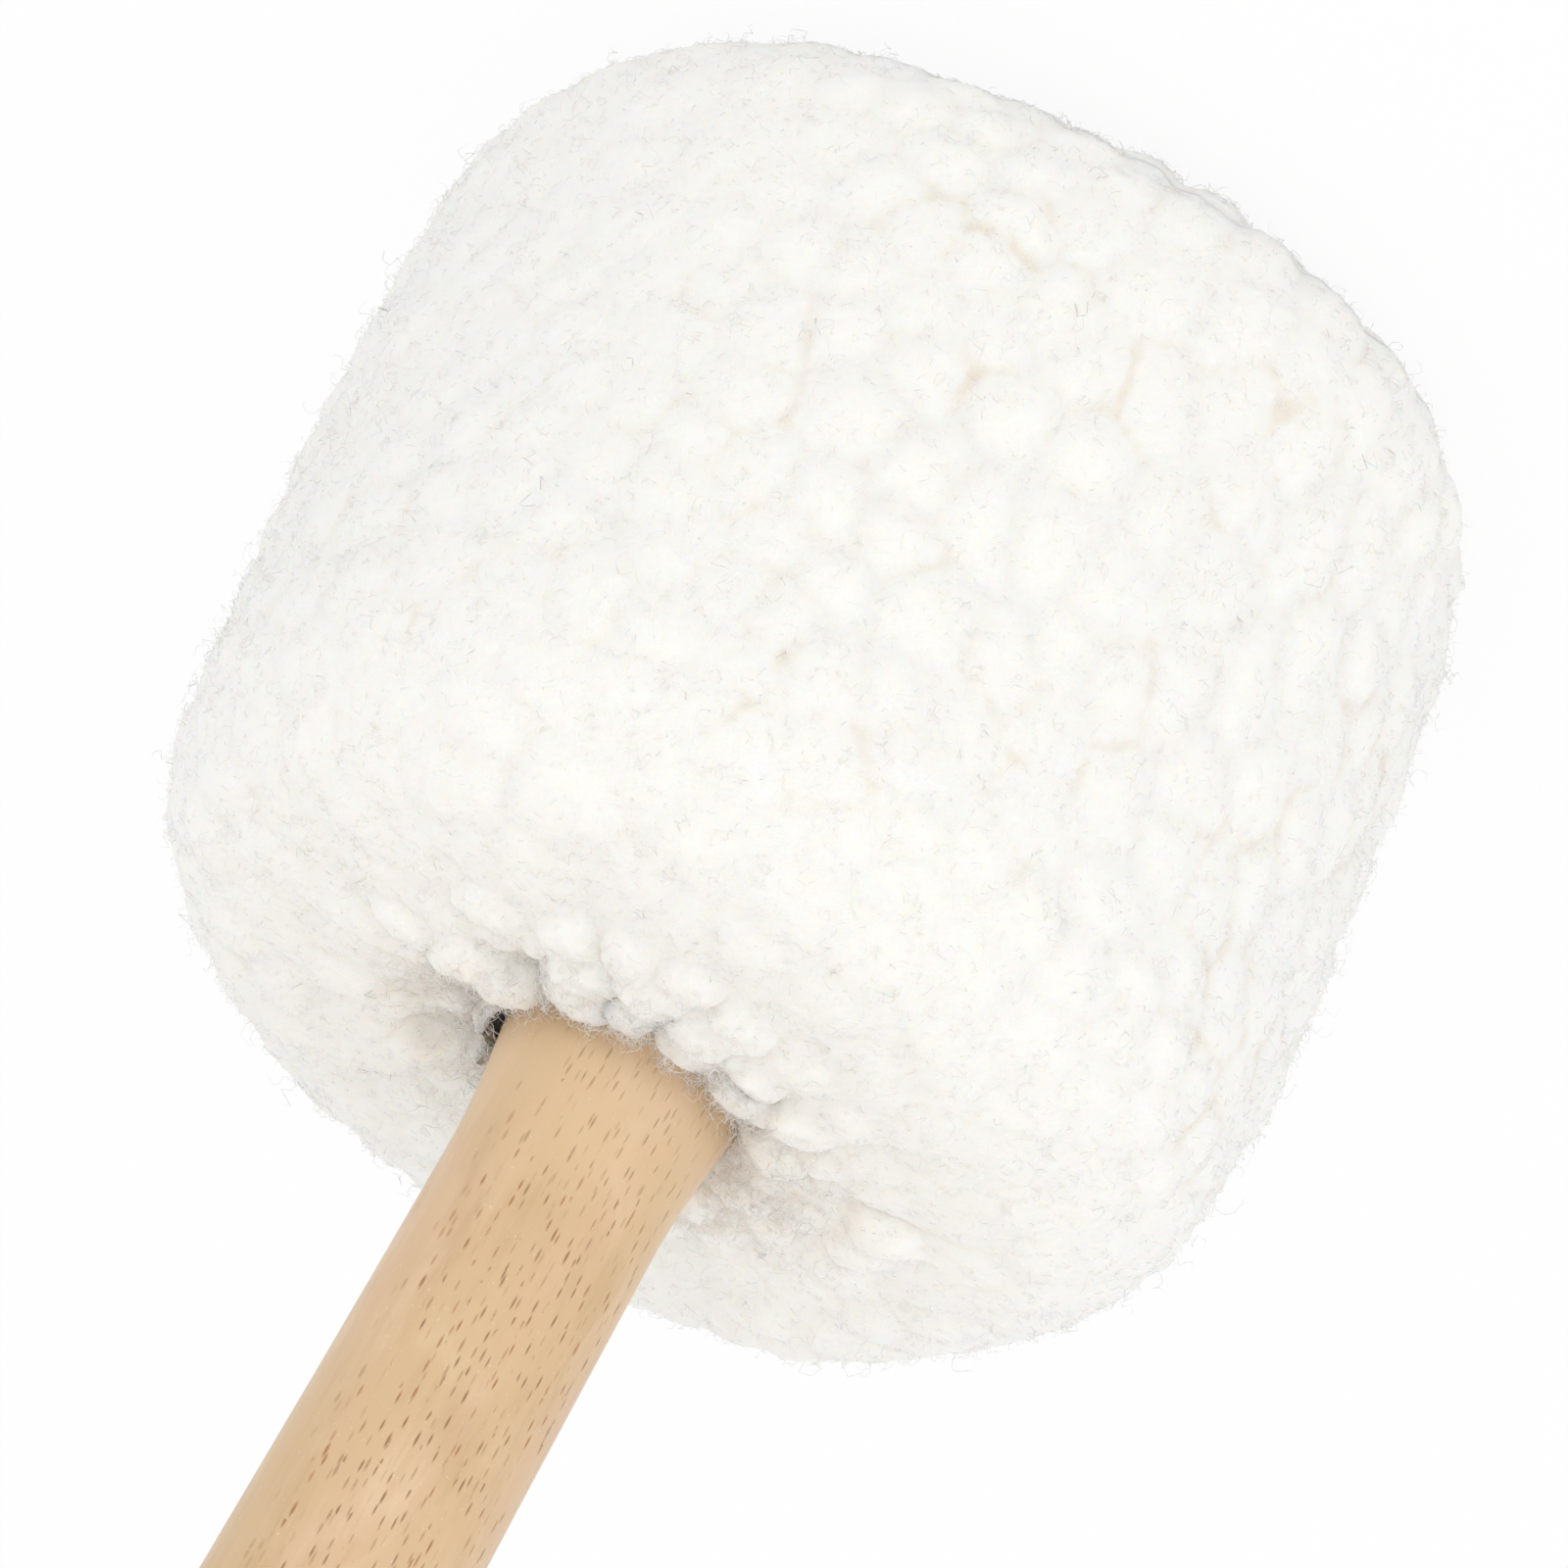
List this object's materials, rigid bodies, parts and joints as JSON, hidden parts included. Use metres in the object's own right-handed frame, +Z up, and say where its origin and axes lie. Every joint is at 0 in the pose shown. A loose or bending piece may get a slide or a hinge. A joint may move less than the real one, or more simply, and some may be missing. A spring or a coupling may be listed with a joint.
{
  "type": "gong mallet",
  "caption": "Gong mallet with a padded, fleece-covered drum head on a turned wooden handle that flares at the neck.",
  "frame": {"origin": "centre of the flat of the crown, the face of the head away from the handle, on which the mallet stands", "axes": "+Z up the handle's axis, from the crown to the end of the handle; X and Y are any two directions across the round head"},
  "size_m": [0.1314, 0.1314, 0.372],
  "materials": {
    "beech": "satin lacquered beech with fine ray flecks",
    "core_wood": "plain turned wood",
    "zinc_steel": "zinc-plated steel",
    "rubber": "matte black rubber",
    "felt": "grey pressed wool felt",
    "wadding": "soft white wadding",
    "collar_felt": "charcoal felt",
    "cord": "natural twisted cord",
    "fleece": "cream tufted wool fleece"
  },
  "bodies": {
    "root": {"handle": "beech", "core_block": "core_wood", "clamp_washer": "zinc_steel", "clamp_screw": "zinc_steel", "rubber_sleeve": "rubber", "felt_wrap": "felt", "felt_crown_disc": "felt", "felt_base_ring": "felt", "wadding_crown_pad": "wadding", "wadding_jacket": "wadding", "neck_collar": "collar_felt", "gather_cord": "cord", "fleece_crown_panel": "fleece", "fleece_band": "fleece"}
  },
  "joints": []
}
